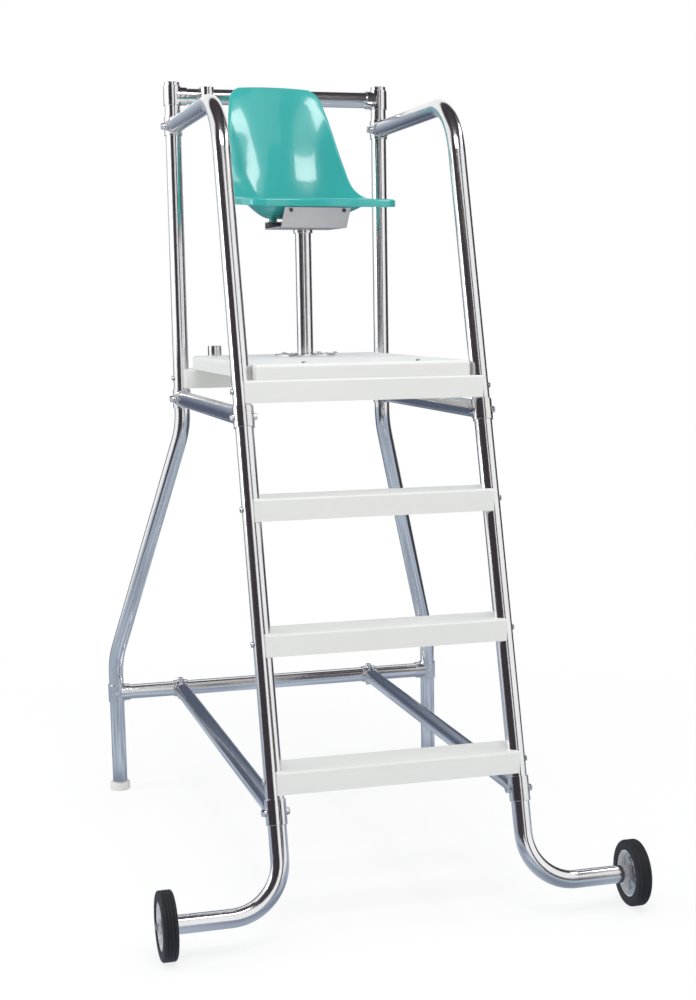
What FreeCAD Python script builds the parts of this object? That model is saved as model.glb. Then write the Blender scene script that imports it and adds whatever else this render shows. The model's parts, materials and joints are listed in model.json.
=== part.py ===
import FreeCAD, Part
import math
import os
import re
import Sketcher
from FreeCAD import Vector, Rotation, Placement

# Lifeguard chair on two wheels, in millimetres.
# +Z is up and the chair faces -Y.
# The origin is on the ground, under the middle of the chair's outline.

doc = FreeCAD.newDocument("lifeguard_chair")
sizes = doc.addObject("Spreadsheet::Sheet", "sizes")

SIZES = (
    # Tubes and fittings
    ("tube_od", 48.3),
    ("tube_wall", 2.8),
    ("fit_gap", 0.3),
    ("collar_wall", 3.2),
    ("collar_length", 58),
    ("coupling_length", 66),
    ("swivel_length", 46),
    ("stub_length", 16),
    ("stub_floor", 30),
    ("end_gap", 1),
    ("boss_od", 21),
    ("boss_rise", 2.2),
    ("edge_round", 1.2),
    # Frame
    ("half_track", 330),
    ("leg_over_rail", 38),
    ("top_rail_height", 2246),
    ("arm_height", 2155),
    ("arm_reach", 739),
    ("arm_bend", 188),
    ("rail_lean", 16),
    ("leg_spread", 216),
    ("leg_back", 216),
    ("spread_drop", 92),
    ("spread_low", 446),
    ("leg_bend", 250),
    ("brace_height", 1318),
    ("lower_height", 332),
    ("coupling_split", 9),
    ("foot_cap_od", 66),
    ("foot_cap_height", 26),
    ("foot_cap_floor", 6),
    ("foot_cap_round", 3),
    ("plug_top", 3),
    ("plug_length", 30),
    # Wheels
    ("wheel_radius", 89),
    ("wheel_width", 38),
    ("wheel_reach", 610),
    ("wheel_leg_bend", 135),
    ("tyre_round", 7),
    ("tyre_groove", 2),
    ("groove_pitch", 8),
    ("rim_radius", 63),
    ("rim_wall", 5),
    ("rim_inset", 3),
    ("web_thickness", 12),
    ("hub_od", 36),
    ("hub_inset", 7.5),
    ("window_radius", 17),
    ("window_reach", 37),
    ("axle_od", 12),
    ("bush_od", 20),
    ("bush_flange", 28),
    ("running_gap", 0.05),
    ("wheel_gap", 3),
    # Treads and deck
    ("tread_depth", 127),
    ("tread_height", 58),
    ("tread_lead", 36),
    ("tread_wall", 4),
    ("tread_rib", 4),
    ("tread_round", 5),
    ("tread_tip", 327),
    ("tread_hollow", 264),
    ("bottom_step_top", 436),
    ("step_rise", 338),
    ("platform_tread_top", 1412),
    ("deck_width", 600),
    ("deck_setback", 14.3674),
    ("deck_rear_gap", 35),
    ("deck_height", 41),
    ("deck_wall", 5),
    ("deck_rib", 4),
    ("deck_corner", 18),
    ("deck_round", 9),
    ("deck_bolt_x", 158),
    ("front_bolt_inset", 35),
    ("rear_bolt_inset", 25),
    # Pole holder
    ("pole_x", 230),
    ("pole_y", 52),
    ("pole_bore", 36),
    ("pole_wall", 3.2),
    ("pole_sleeve_rise", 22),
    ("pole_sleeve_length", 58),
    ("pole_clamp_width", 34),
    ("socket_rise", 30),
    ("socket_sink", 24),
    # Pedestal and seat
    ("pedestal_back", 312),
    ("flange_od", 186),
    ("flange_thickness", 7),
    ("flange_bolt", 54),
    ("spigot_length", 70),
    ("bracket_height", 1830),
    ("ring_height", 11),
    ("ring_od", 58),
    ("bush_length", 90),
    ("spindle_od", 32),
    ("spindle_length", 100),
    ("seat_turn", 6),
    ("bracket_width", 204),
    ("bracket_sheet", 3),
    ("bracket_base", 100),
    ("bracket_top", 138),
    ("bracket_rise", 56),
    ("bracket_rear", 52),
    ("bracket_rear_rise", 22),
    ("bracket_flange", 34),
    ("seat_bolt_x", 82),
    ("seat_bolt_drop", 9),
    ("lug_od", 24),
    ("shell_wall", 5),
    # Fasteners
    ("clamp_bolt_od", 10),
    ("clamp_head_od", 18),
    ("clamp_head_height", 6),
    ("washer_od", 21),
    ("washer_thickness", 1.5),
    ("nut_width", 17),
    ("nut_height", 6),
    ("bolt_tip", 1),
    ("small_bolt_od", 8),
    ("small_head_od", 16),
    ("small_head_height", 5),
    ("small_nut_width", 13),
    ("small_nut_height", 6.5),
    ("seat_bolt_od", 6),
    ("seat_head_od", 11),
    ("seat_head_height", 4),
    ("thread_gap", 0.2),
)
NAMES = re.compile(r"\b(" + "|".join(name for name, value in SIZES) + r")\b")

for row, (name, value) in enumerate(SIZES, start=1):
    sizes.set(f"A{row}", name)
    sizes.set(f"B{row}", str(value))
    sizes.setAlias(f"B{row}", name)
doc.recompute()

SIDES = (("left", "-1"), ("right", "1"))

# Directions as a turn of +Z and as the parts of a unit step
TURNS = {
    "up": (None, "0", ("0", "0", "1")),
    "down": ((1, 0, 0), "180", ("0", "0", "-1")),
    "right": ((0, 1, 0), "90", ("1", "0", "0")),
    "left": ((0, -1, 0), "90", ("-1", "0", "0")),
    "back": ((-1, 0, 0), "90", ("0", "1", "0")),
    "front": ((1, 0, 0), "90", ("0", "-1", "0")),
    "rail": ((-1, 0, 0), "rail_lean", ("0", "sin(rail_lean)", "cos(rail_lean)")),
}

pieces = []


def linked(formula):
    """The same formula with each size read from the sheet."""
    return NAMES.sub(r"sizes.\1", str(formula))


def number(formula):
    """The present value of a formula over the sheet's sizes."""
    return float(sizes.evalExpression(str(formula)))


def add(kind, name="part"):
    return doc.addObject(kind, name)


def bind(item, **properties):
    """Tie properties of an object to formulas over the sheet's sizes."""
    for name, formula in properties.items():
        item.setExpression(name, linked(formula))
    return item


def put(item, point, axis=None, angle="0"):
    """Place an object at a point given by three formulas."""
    turn = Rotation(Vector(*axis), number(angle)) if axis else Rotation()
    item.Placement = Placement(Vector(*[number(value) for value in point]), turn)
    for letter, formula in zip("xyz", point):
        item.setExpression(f".Placement.Base.{letter}", linked(formula))
    if axis:
        item.setExpression(".Placement.Rotation.Angle", linked(angle))
    return item


def step(point, toward, distance):
    """The point a distance away in a named direction."""
    parts = TURNS[toward][2]
    return tuple(p if part == "0" else f"{p} + ({distance}) * {part}" for p, part in zip(point, parts))


def rod(point, toward, length, diameter):
    """A cylinder that starts at a point and runs in a named direction."""
    axis, angle, parts = TURNS[toward]
    item = bind(add("Part::Cylinder", "rod"), Radius=f"({diameter}) / 2", Height=length)
    return put(item, point, axis, angle)


def centred_rod(point, toward, length, diameter):
    return rod(step(point, toward, f"-({length}) / 2"), toward, length, diameter)


def box(point, length, width, height):
    item = bind(add("Part::Box", "box"), Length=length, Width=width, Height=height)
    return put(item, point)


def hexagon(point, toward, height, width):
    """A hexagonal prism of a given width across its flats."""
    axis, angle, parts = TURNS[toward]
    item = add("Part::Prism", "hexagon")
    item.Polygon = 6
    bind(item, Circumradius=f"({width}) / 2 / cos(30)", Height=height)
    return put(item, point, axis, angle)


def fuse(*items):
    if len(items) == 1:
        return items[0]
    item = add("Part::MultiFuse", "fuse")
    item.Shapes = list(items)
    return item


def cut(base, *tools):
    item = add("Part::Cut", "cut")
    item.Base = base
    item.Tool = fuse(*tools)
    return item


def group(items):
    item = add("Part::Compound", "group")
    item.Links = list(items)
    return item


def rounded(item, radius, wanted=None):
    """The object with some or all of its circular or chosen edges rounded."""
    item.recompute(True)
    edges = item.Shape.Edges
    if wanted is None:
        wanted = [edge.Curve.TypeId == "Part::GeomCircle" for edge in edges]
    else:
        wanted = [wanted(edge) for edge in edges]
    size = number(radius)
    result = add("Part::Fillet", "rounded")
    result.Base = item
    result.Edges = [(index, size, size) for index, want in enumerate(wanted, start=1) if want]
    return result


def chamfered(item, radius):
    """The object with its circular edges bevelled."""
    item.recompute(True)
    size = number(radius)
    circles = [edge.Curve.TypeId == "Part::GeomCircle" for edge in item.Shape.Edges]
    result = add("Part::Chamfer", "chamfered")
    result.Base = item
    result.Edges = [(index, size, size) for index, want in enumerate(circles, start=1) if want]
    return result


def piece(item, label):
    """Register a finished piece under its name."""
    item.Label = label
    pieces.append(item)
    return item


def sketch_on(body, plane, name):
    sketch = body.newObject("Sketcher::SketchObject", name)
    origin = [feature for feature in body.Origin.OriginFeatures if feature.Role == plane][0]
    sketch.AttachmentSupport = [(origin, "")]
    sketch.MapMode = "FlatFace"
    return sketch


def pin(sketch, geometry, end, name, point):
    """Fix one end of a sketch element at a point given by two formulas."""
    for kind, letter, formula in zip(("DistanceX", "DistanceY"), "xy", point):
        index = sketch.addConstraint(
            Sketcher.Constraint(kind, -1, 1, geometry, end, number(formula)))
        sketch.renameConstraint(index, f"{name}_{letter}")
        sketch.setExpression(f".Constraints.{name}_{letter}", linked(formula))


def outline(body, plane, points):
    """A closed sketch of straight lines through points given by formulas."""
    sketch = sketch_on(body, plane, "outline")
    spots = [Vector(number(x), number(y), 0) for x, y in points]
    lines = [Part.LineSegment(a, b) for a, b in zip(spots, spots[1:] + spots[:1])]
    sketch.addGeometry(lines, False)
    for index in range(len(lines)):
        following = (index + 1) % len(lines)
        sketch.addConstraint(Sketcher.Constraint("Coincident", index, 2, following, 1))
    for index, point in enumerate(points):
        pin(sketch, index, 1, f"corner_{index}", point)
    return sketch


def bent_line(body, plane, points, radii):
    """A sketched line through points with a tangent arc at each corner."""
    sketch = sketch_on(body, plane, "path")
    spots = [Vector(number(x), number(y), 0) for x, y in points]
    starts, ends, arcs = [spots[0]], [], []
    for before, corner, after, radius in zip(spots, spots[1:], spots[2:], radii):
        inward = (before - corner).normalize()
        outward = (after - corner).normalize()
        half = inward.getAngle(outward) / 2
        reach = number(radius) / math.tan(half)
        first = corner + inward * reach
        last = corner + outward * reach
        middle_line = (inward + outward).normalize()
        centre = corner + middle_line * (number(radius) / math.sin(half))
        middle = centre - middle_line * number(radius)
        arcs.append(Part.Arc(first, middle, last))
        ends.append(first)
        starts.append(last)
    ends.append(spots[-1])
    lines = [Part.LineSegment(a, b) for a, b in zip(starts, ends)]
    sketch.addGeometry(lines[0], False)
    for arc, line in zip(arcs, lines[1:]):
        sketch.addGeometry(arc, False)
        sketch.addGeometry(line, False)
    for index in range(len(arcs)):
        before, turn, after = 2 * index, 2 * index + 1, 2 * index + 2
        shape = sketch.Geometry[turn]
        forward = (shape.StartPoint - ends[index]).Length < 0.01
        near, far = (1, 2) if forward else (2, 1)
        sketch.addConstraint(Sketcher.Constraint("Tangent", before, 2, turn, near))
        sketch.addConstraint(Sketcher.Constraint("Tangent", turn, far, after, 1))
        bend = sketch.addConstraint(Sketcher.Constraint("Radius", turn, number(radii[index])))
        sketch.renameConstraint(bend, f"bend_{index}")
        sketch.setExpression(f".Constraints.bend_{index}", linked(radii[index]))
        corner = sketch.addGeometry(Part.Point(spots[index + 1]), True)
        pin(sketch, corner, 1, f"corner_{index}", points[index + 1])
        sketch.addConstraint(Sketcher.Constraint("PointOnObject", corner, 1, before))
        sketch.addConstraint(Sketcher.Constraint("PointOnObject", corner, 1, after))
    pin(sketch, 0, 1, "start", points[0])
    pin(sketch, 2 * len(arcs), 2, "end", points[-1])
    return sketch


def ring_on(body, plane, shift=None):
    """A sketch of a tube's two circles, moved along its plane and normal."""
    ring = sketch_on(body, plane, "ring")
    for index, formula in enumerate(("tube_od / 2", "tube_od / 2 - tube_wall")):
        ring.addGeometry(Part.Circle(Vector(0, 0, 0), Vector(0, 0, 1), number(formula)), False)
        ring.addConstraint(Sketcher.Constraint("Coincident", index, 3, -1, 1))
        size = ring.addConstraint(Sketcher.Constraint("Radius", index, number(formula)))
        ring.renameConstraint(size, f"radius_{index}")
        ring.setExpression(f".Constraints.radius_{index}", linked(formula))
    if shift:
        ring.AttachmentOffset = Placement(Vector(*[number(value) for value in shift]), Rotation())
        for letter, formula in zip("xyz", shift):
            ring.setExpression(f".AttachmentOffset.Base.{letter}", linked(formula))
    return ring


def bent_tube(path_plane, ring_plane, *runs):
    """A tube body along bent runs, each a line of points, a bend and a start."""
    body = add("PartDesign::Body", "tube")
    for points, radius, shift in runs:
        path = bent_line(body, path_plane, points, (radius,))
        ring = ring_on(body, ring_plane, shift)
        path.recompute()
        ring.recompute()
        pipe = body.newObject("PartDesign::AdditivePipe", "pipe")
        pipe.Profile = ring
        pipe.Spine = (path, ["Edge1", "Edge2", "Edge3"])
        body.Tip = pipe
    return body


# Main places, with y measured from the middle of the chair's outline
AXLE_REACH = "(arm_reach + tan(rail_lean) * (arm_height - wheel_radius))"
REAR_Y = f"({AXLE_REACH} + wheel_radius - leg_back - foot_cap_od / 2) / 2"
AXLE_Y = f"({REAR_Y} - {AXLE_REACH})"
LEG_Y = f"({REAR_Y} + leg_back)"
SEAT_Y = f"({REAR_Y} - pedestal_back)"
DECK_TOP = "(platform_tread_top + deck_height)"
TUBE_ID = "(tube_od - 2 * tube_wall)"
COLLAR_ID = "(tube_od + 2 * fit_gap)"
COLLAR_OD = "(tube_od + 2 * fit_gap + 2 * collar_wall)"
CLAMP_HOLE = "(clamp_bolt_od + 2 * fit_gap)"
SMALL_HOLE = "(small_bolt_od + 2 * fit_gap)"
BOSS_FACE = f"({COLLAR_OD} / 2 + boss_rise)"


def rail_y(height):
    """Where a front rail's axis lies at a height."""
    return f"({REAR_Y} - arm_reach - tan(rail_lean) * (arm_height - ({height})))"


DECK_Y = f"({rail_y('platform_tread_top - tread_height / 2')} - tread_lead + deck_setback)"
DECK_LENGTH = f"({REAR_Y} - deck_rear_gap - {DECK_Y})"


STEP_TOPS = {
    "bottom_step": "bottom_step_top",
    "middle_step": "(bottom_step_top + step_rise)",
    "top_step": "(bottom_step_top + 2 * step_rise)",
    "front_platform_tread": "platform_tread_top",
}
PLATFORM_MIDDLE = "(platform_tread_top - tread_height / 2)"
LEG_TOP = "(top_rail_height + leg_over_rail)"
HUB_FACE = "(wheel_reach + rim_inset + hub_inset)"

# Rear legs: one bent tube each, splayed outward and backward below the deck
LEG_FOOT = "foot_cap_floor"
SPLAY = "sqrt(leg_spread ^ 2 + leg_back ^ 2)"
SPREAD_TOP = "(brace_height - spread_drop)"
for side, sign in SIDES:
    low_bend = ("0", f"spread_low - {LEG_FOOT}")
    top_bend = (f"-{SPLAY}", f"{SPREAD_TOP} - {LEG_FOOT}")
    halfway = (f"-{SPLAY} / 2", f"(spread_low + {SPREAD_TOP}) / 2 - {LEG_FOOT}")
    top = (f"-{SPLAY}", f"{LEG_TOP} - {LEG_FOOT}")
    tube = bent_tube("XZ_Plane", "XY_Plane",
                     ((("0", "0"), low_bend, halfway), "leg_bend", None),
                     ((top, top_bend, halfway), "leg_bend", (top[0], "0", top[1])))
    turn = "atan2(leg_back; leg_spread)" if side == "right" else "180 deg - atan2(leg_back; leg_spread)"
    foot = (f"{sign} * (half_track + leg_spread)", LEG_Y, LEG_FOOT)
    put(tube, foot, (0, 0, 1), turn)
    upright = f"{sign} * half_track"
    holes = [
        centred_rod((upright, REAR_Y, "arm_height"), "right", "2 * tube_od", CLAMP_HOLE),
        centred_rod((upright, REAR_Y, "brace_height"), "right", "2 * tube_od", CLAMP_HOLE),
        centred_rod((upright, REAR_Y, PLATFORM_MIDDLE), "right", "2 * tube_od", SMALL_HOLE),
        rod((upright, REAR_Y, "top_rail_height"), "back", "tube_od", SMALL_HOLE),
        rod((foot[0], LEG_Y, "lower_height"), "front", "tube_od", SMALL_HOLE),
    ]
    piece(cut(tube, *holes), f"rear_leg_{side}")

# Front rails: the arm runs forward, turns down and carries the steps
SPLIT = "coupling_split * cos(rail_lean)"
for side, sign in SIDES:
    start = (f"{sign} * half_track", f"{REAR_Y} - stub_floor - end_gap", "arm_height")
    low = f"(lower_height + {SPLIT} - arm_height)"
    corner = ("stub_floor + end_gap - arm_reach", "0")
    end = (f"{corner[0]} + tan(rail_lean) * {low}", low)
    tube = bent_tube("YZ_Plane", "XZ_Plane", ((("0", "0"), corner, end), "arm_bend", None))
    put(tube, start)
    holes = [
        centred_rod((start[0], rail_y(f"{top} - tread_height / 2"), f"{top} - tread_height / 2"),
                    "right", "2 * tube_od", SMALL_HOLE)
        for top in STEP_TOPS.values()
    ]
    holes.append(centred_rod((start[0], rail_y("brace_height"), "brace_height"),
                             "right", "2 * tube_od", CLAMP_HOLE))
    piece(cut(tube, *holes), f"front_rail_{side}")

# Wheel legs: down in line with the rails, then outward to the wheels
for side, sign in SIDES:
    middle = (f"{sign} * half_track", rail_y("lower_height"), "lower_height")
    start = step(middle, "rail", "coupling_split - end_gap")
    drop = "((lower_height - wheel_radius) / cos(rail_lean) + coupling_split - end_gap)"
    end = (f"{HUB_FACE} - wheel_gap - half_track", f"-{drop}")
    tube = bent_tube("XZ_Plane", "XY_Plane", ((("0", "0"), ("0", f"-{drop}"), end), "wheel_leg_bend", None))
    if side == "left":
        put(tube, ("0", "0", "0"), (0, 0, 1), "180")
    hole = centred_rod(("0", "0", "end_gap - coupling_split"), "right", "2 * tube_od", CLAMP_HOLE)
    leg = put(cut(tube, hole), start, (-1, 0, 0), "rail_lean")
    piece(leg, f"wheel_leg_{side}")


def straight_tube(label, point, toward, length, *holes):
    """A straight tube from a point, with cross holes."""
    outer = rod(point, toward, length, "tube_od")
    bore = rod(step(point, toward, "-1"), toward, f"{length} + 2", TUBE_ID)
    return piece(cut(outer, bore, *holes), label)


# Straight tubes between the tees
TUCK = "(stub_floor + end_gap)"
RAIL_TUCK = "(tube_od / 2 / cos(rail_lean) + tube_od / 2 * tan(rail_lean) + 2 * end_gap)"
pole_hole = rod(("-pole_x", REAR_Y, "top_rail_height"), "down", "tube_od", SMALL_HOLE)
straight_tube("top_rail", (f"{TUCK} - half_track", REAR_Y, "top_rail_height"), "right",
              f"2 * (half_track - {TUCK})", pole_hole)
cross_holes = [
    centred_rod((f"{sign} * half_track", LEG_Y, "lower_height"), "up", "2 * tube_od", CLAMP_HOLE)
    for side, sign in SIDES
]
straight_tube("lower_cross_tube", (f"{TUCK} - half_track - leg_spread", LEG_Y, "lower_height"),
              "right", f"2 * (half_track + leg_spread - {TUCK})", *cross_holes)
for side, sign in SIDES:
    for label, rear, height in (("side_brace", REAR_Y, "brace_height"),
                                ("lower_brace", LEG_Y, "lower_height")):
        start = (f"{sign} * half_track", f"{rear} - {TUCK}", height)
        straight_tube(f"{label}_{side}", start, "front",
                      f"{rear} - {rail_y(height)} - {TUCK} - {RAIL_TUCK}")


def tee(label, middle, run, stub, bolt, length="collar_length", through=True, hole=CLAMP_HOLE):
    """A tee: a collar round one tube and a blind stub for the end of another."""
    collar = rounded(centred_rod(middle, run, length, COLLAR_OD), "edge_round")
    root = step(middle, stub, "boss_od / 2 + 1")
    arm = rounded(rod(root, stub, f"{COLLAR_OD} / 2 + stub_length - boss_od / 2 - 1", COLLAR_OD), "edge_round")
    if through:
        boss = centred_rod(middle, bolt, f"2 * {BOSS_FACE}", "boss_od")
        drill = centred_rod(middle, bolt, f"3 * {BOSS_FACE}", hole)
    else:
        boss = rod(middle, bolt, BOSS_FACE, "boss_od")
        drill = rod(middle, bolt, f"2 * {BOSS_FACE}", hole)
    bore = centred_rod(middle, run, f"2 * {length}", COLLAR_ID)
    socket = rod(step(middle, stub, "stub_floor"), stub, "2 * stub_length + tube_od", COLLAR_ID)
    return piece(cut(fuse(collar, arm, boss), bore, socket, drill), label)


# Tees and couplings
clamp_spots = []
screw_spots = []
for side, sign in SIDES:
    upright = f"{sign} * half_track"
    leg = f"{sign} * (half_track + leg_spread)"
    inward = "right" if side == "left" else "left"
    top = (upright, REAR_Y, "top_rail_height")
    tee(f"top_tee_{side}", top, "up", inward, "back", through=False, hole=SMALL_HOLE)
    foot = (leg, LEG_Y, "lower_height")
    tee(f"foot_tee_{side}", foot, "up", inward, "front", through=False, hole=SMALL_HOLE)
    screw_spots += [(top, "back"), (foot, "front")]
    arm = (upright, REAR_Y, "arm_height")
    tee(f"arm_tee_{side}", arm, "up", "front", "right")
    rear = (upright, REAR_Y, "brace_height")
    tee(f"rear_brace_tee_{side}", rear, "up", "front", "right")
    front = (upright, rail_y("brace_height"), "brace_height")
    tee(f"front_brace_tee_{side}", front, "rail", "back", "right")
    low = (upright, rail_y("lower_height"), "lower_height")
    tee(f"rail_coupling_{side}", low, "rail", "back", "right", length="coupling_length")
    cross = (upright, LEG_Y, "lower_height")
    tee(f"cross_tee_{side}", cross, "right", "front", "up", length="swivel_length")
    clamp_spots += [(spot, "left") for spot in (arm, rear, front, low)]
    clamp_spots.append((cross, "down"))

OPPOSITE = {"left": "right", "right": "left", "up": "down", "down": "up", "back": "front", "front": "back"}


def bolt(point, toward, length, od, head_od, head_height):
    """A domed bolt whose head's flat underside is at a point."""
    head = rounded(rod(point, OPPOSITE[toward], head_height, head_od), f"({head_height}) / 2",
                   lambda edge: is_far_circle(edge, point, toward, head_height))
    shank = rod(step(point, toward, "-0.5"), toward, f"({length}) + 0.5", od)
    return fuse(head, shank)


def is_far_circle(edge, point, toward, distance):
    """True for the circle at the outer end of a bolt head."""
    if edge.Curve.TypeId != "Part::GeomCircle":
        return False
    far = step(point, OPPOSITE[toward], distance)
    return (edge.Curve.Center - Vector(*[number(value) for value in far])).Length < 0.01


# Clamp bolts and their flanged nuts
CLAMP_LENGTH = f"2 * {BOSS_FACE} + washer_thickness + nut_height + bolt_tip"
bolts = []
nuts = []
for spot, toward in clamp_spots:
    head = step(spot, OPPOSITE[toward], BOSS_FACE)
    bolts.append(bolt(head, toward, CLAMP_LENGTH, "clamp_bolt_od", "clamp_head_od", "clamp_head_height"))
    face = step(spot, toward, BOSS_FACE)
    flange = rod(face, toward, "washer_thickness", "washer_od")
    nut = hexagon(face, toward, "washer_thickness + nut_height", "nut_width")
    bore = centred_rod(face, toward, "4 * nut_height", "clamp_bolt_od + 2 * thread_gap")
    nuts.append(cut(fuse(flange, nut), bore))
piece(group(bolts), "clamp_bolts")
piece(group(nuts), "clamp_nuts")

# Short screws in the tees that have no through bolt, and under the pole clamp
screws = []
for spot, outward in screw_spots:
    head = step(spot, outward, BOSS_FACE)
    screws.append(bolt(head, OPPOSITE[outward], "collar_wall + boss_rise + 10",
                       "small_bolt_od", "small_head_od", "small_head_height"))
under = ("-pole_x", REAR_Y, f"top_rail_height - {BOSS_FACE}")
screws.append(bolt(under, "up", "collar_wall + boss_rise + 10",
                   "small_bolt_od", "small_head_od", "small_head_height"))
piece(group(screws), "tee_screws")

# Foot caps under the rear legs and plugs in the tops of the uprights
caps = []
plugs = []
for side, sign in SIDES:
    foot = (f"{sign} * (half_track + leg_spread)", LEG_Y, "0")
    cap = rounded(rod(foot, "up", "foot_cap_height", "foot_cap_od"), "foot_cap_round")
    caps.append(cut(cap, rod(step(foot, "up", "foot_cap_floor"), "up", "foot_cap_height", COLLAR_ID)))
    top = (f"{sign} * half_track", REAR_Y, LEG_TOP)
    lid = rounded(rod(top, "up", "plug_top", "tube_od"), "edge_round")
    stem = rod(step(top, "down", "plug_length"), "up", "plug_length + 1", f"{TUBE_ID} - 2 * fit_gap")
    core = rod(step(top, "down", "plug_length + 1"), "up", "plug_length", f"{TUBE_ID} - 8")
    plugs.append(cut(fuse(lid, stem), core))
piece(group(caps), "foot_caps")
piece(group(plugs), "upright_plugs")


def tread(label, front_y, top, middle_y, run, bolts_at=None):
    """A hollow moulded tread, ribbed inside and coped round the tubes."""
    low = f"({top} - tread_height)"
    middle = f"({top} - tread_height / 2)"
    block = box(("-tread_tip", front_y, low), "2 * tread_tip", "tread_depth", "tread_height")
    top_edge = number(top)

    def is_long_top(edge):
        ends = [vertex.Point for vertex in edge.Vertexes]
        return abs(ends[0].x - ends[1].x) > 1 and min(end.z for end in ends) > top_edge - 0.1

    outer = rounded(block, "tread_round", is_long_top)
    bays = []
    count = 6
    bay = f"((2 * tread_hollow - {count - 1} * tread_rib) / {count})"
    for index in range(count):
        start = f"{index} * ({bay} + tread_rib) - tread_hollow"
        bays.append(box((start, f"{front_y} + tread_wall", f"{low} - 1"), bay,
                        "tread_depth - 2 * tread_wall", "tread_height - tread_wall + 1"))
    tools = list(bays)
    for side, sign in SIDES:
        axis = (f"{sign} * half_track", middle_y, middle)
        tools.append(centred_rod(axis, run, "3 * tread_height", COLLAR_ID))
        outward = "right" if side == "right" else "left"
        tools.append(rod((f"{sign} * (tread_hollow + 2)", middle_y, middle), outward, "tube_od", SMALL_HOLE))
        if bolts_at:
            tools.append(centred_rod((f"{sign} * deck_bolt_x", bolts_at, top), "up",
                                     "tread_height / 2", SMALL_HOLE))
    return piece(cut(outer, *tools), label)


# Treads: three steps and a front and a rear bearer under the deck
FRONT_BOLT_Y = f"({DECK_Y} + front_bolt_inset)"
REAR_BOLT_Y = f"({REAR_Y} - deck_rear_gap - rear_bolt_inset)"
tread_bolts = []
TREAD_BOLT = "tube_od + fit_gap + half_track - tube_od / 2 - tread_hollow - 8"
for label, top in STEP_TOPS.items():
    middle = f"{top} - tread_height / 2"
    axis_y = rail_y(middle)
    front_y = f"({axis_y} - tread_lead)"
    tread(label, front_y, top, axis_y, "rail", FRONT_BOLT_Y if label == "front_platform_tread" else None)
    for sign, inward in (("-1", "right"), ("1", "left")):
        spot = (f"{sign} * (half_track + tube_od / 2 + fit_gap)", axis_y, middle)
        tread_bolts.append(bolt(spot, inward, TREAD_BOLT, "small_bolt_od", "small_head_od", "small_head_height"))
tread("rear_platform_tread", f"({REAR_Y} + tread_lead - tread_depth)", "platform_tread_top",
      REAR_Y, "up", REAR_BOLT_Y)
for sign, inward in (("-1", "right"), ("1", "left")):
    spot = (f"{sign} * (half_track + tube_od / 2 + fit_gap)", REAR_Y, PLATFORM_MIDDLE)
    tread_bolts.append(bolt(spot, inward, TREAD_BOLT, "small_bolt_od", "small_head_od", "small_head_height"))
piece(group(tread_bolts), "tread_bolts")

# Deck: a moulded tray with rounded edges, ribs and bosses underneath
block = box(("-deck_width / 2", DECK_Y, "platform_tread_top"), "deck_width", DECK_LENGTH, "deck_height")
upright_edges = rounded(block, "deck_corner", lambda edge: abs(edge.Vertexes[0].Z - edge.Vertexes[1].Z) > 1)
deck_level = number(DECK_TOP)
outer = rounded(upright_edges, "deck_round",
                lambda edge: min(vertex.Z for vertex in edge.Vertexes) > deck_level - 0.1)
ACROSS, ALONG = 3, 5
bay_x = f"((deck_width - 2 * deck_wall - {ACROSS - 1} * deck_rib) / {ACROSS})"
bay_y = f"(({DECK_LENGTH} - 2 * deck_wall - {ALONG - 1} * deck_rib) / {ALONG})"
bays = []
for column in range(ACROSS):
    for row in range(ALONG):
        corner = (f"deck_wall - deck_width / 2 + {column} * ({bay_x} + deck_rib)",
                  f"{DECK_Y} + deck_wall + {row} * ({bay_y} + deck_rib)", "platform_tread_top - 1")
        bays.append(box(corner, bay_x, bay_y, "deck_height - deck_wall + 1"))
socket = ("-pole_x", f"{REAR_Y} - pole_y", "platform_tread_top")
POLE_OD = "(pole_bore + 2 * pole_wall)"
bosses = [rod(("0", SEAT_Y, "platform_tread_top - 2"), "up", "deck_height", "flange_od - 2"),
          rod(step(socket, "down", "2"), "up", "deck_height", f"{POLE_OD} + 14")]
deck_spots = []
for side, sign in SIDES:
    for bolt_y in (FRONT_BOLT_Y, REAR_BOLT_Y):
        deck_spots.append((f"{sign} * deck_bolt_x", bolt_y, DECK_TOP))
        bosses.append(rod((f"{sign} * deck_bolt_x", bolt_y, "platform_tread_top - 2"), "up",
                          "deck_height", "3 * small_bolt_od"))
flange_spots = [(f"{x} * flange_bolt", f"{SEAT_Y} + {y} * flange_bolt", f"{DECK_TOP} + flange_thickness")
                for x in ("-1", "1") for y in ("-1", "1")]
holes = [centred_rod(spot, "up", "4 * deck_height", SMALL_HOLE) for spot in deck_spots + flange_spots]
holes.append(rod(step(socket, "up", "deck_height - socket_sink"), "up", "deck_height", f"{POLE_OD} + 2 * fit_gap"))
piece(cut(outer, cut(fuse(*bays), *bosses), *holes), "deck")

# Deck bolts, pedestal bolts and the nuts under both
deck_bolts = [bolt(spot, "down", "deck_height + tread_wall + small_nut_height + 3", "small_bolt_od",
                   "small_head_od", "small_head_height") for spot in deck_spots]
piece(group(deck_bolts), "deck_bolts")
nuts = []
for spot in deck_spots:
    seat = step(spot, "down", "deck_height + tread_wall")
    nut = hexagon(seat, "down", "small_nut_height", "small_nut_width")
    nuts.append(cut(nut, centred_rod(seat, "up", "4 * small_nut_height", "small_bolt_od + 2 * thread_gap")))
for spot in flange_spots:
    seat = step(spot, "down", "deck_height + flange_thickness")
    nut = hexagon(seat, "down", "small_nut_height", "small_nut_width")
    nuts.append(cut(nut, centred_rod(seat, "up", "4 * small_nut_height", "small_bolt_od + 2 * thread_gap")))
piece(group(nuts), "deck_nuts")
pedestal_bolts = [bolt(spot, "down", "deck_height + flange_thickness + small_nut_height + 3",
                       "small_bolt_od", "small_head_od", "small_head_height") for spot in flange_spots]
piece(group(pedestal_bolts), "pedestal_bolts")

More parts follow.
